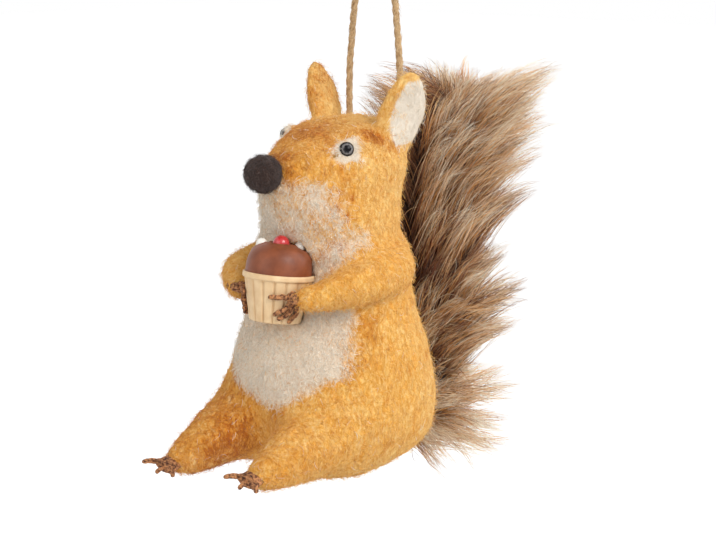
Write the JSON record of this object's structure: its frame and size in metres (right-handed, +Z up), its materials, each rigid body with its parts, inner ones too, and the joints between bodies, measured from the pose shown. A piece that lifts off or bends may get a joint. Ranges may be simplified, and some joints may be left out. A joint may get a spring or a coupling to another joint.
{
  "type": "hanging squirrel ornament",
  "caption": "Needle-felted sitting squirrel holding a miniature cupcake, with a bushy fur tail, hung from a twine loop.",
  "frame": {"origin": "the underside of the twine loop's top, where it rests on a hook", "axes": "+Z up, -Y is the way the squirrel faces, +X is the squirrel's own left"},
  "size_m": [0.054, 0.1311, 0.152],
  "materials": {
    "twine": "matte",
    "orange_wool": "matte",
    "white_wool": "matte",
    "brown_felt": "matte",
    "eye_glass": "gloss",
    "brown_paper": "matte",
    "wire": "satin",
    "cream_resin": "satin",
    "chocolate_resin": "satin",
    "red_resin": "gloss",
    "white_resin": "gloss",
    "thread": "matte",
    "backing": "matte",
    "fur": "matte"
  },
  "bodies": {
    "hanger": {"hanging_twine": "twine", "twine_knot": "twine"},
    "squirrel": {"torso": "orange_wool", "belly_patch": "white_wool", "head": "orange_wool", "throat_patch": "white_wool", "nose": "brown_felt", "ear_left": "orange_wool", "ear_right": "orange_wool", "ear_lining_left": "white_wool", "ear_lining_right": "white_wool", "eye_patch_left": "white_wool", "eye_patch_right": "white_wool", "eye_left": "eye_glass", "eye_right": "eye_glass", "arm_left": "orange_wool", "arm_right": "orange_wool", "arm_wire_left": "wire", "arm_wire_right": "wire", "hand_left": "brown_paper", "hand_right": "brown_paper", "leg_left": "orange_wool", "leg_right": "orange_wool", "leg_wire_left": "wire", "leg_wire_right": "wire", "foot_left": "brown_paper", "foot_right": "brown_paper", "cupcake_case": "cream_resin", "cupcake_top": "chocolate_resin", "cherry": "red_resin", "pearls": "white_resin", "tail_thread": "thread"},
    "tail": {"tail_backing": "backing", "tail_wire": "wire", "tail_fur": "fur"}
  },
  "joints": [
    {"name": "squirrel_swing", "type": "hinge", "parent": "hanger", "child": "squirrel", "pos_m": [0, 0, -0.054], "axis": [1, 0, 0], "range_deg": [-20, 8]},
    {"name": "tail_bend", "type": "hinge", "parent": "squirrel", "child": "tail", "pos_m": [0, 0.0045, -0.137], "axis": [-1, 0, 0], "range_deg": [0, 20]}
  ]
}
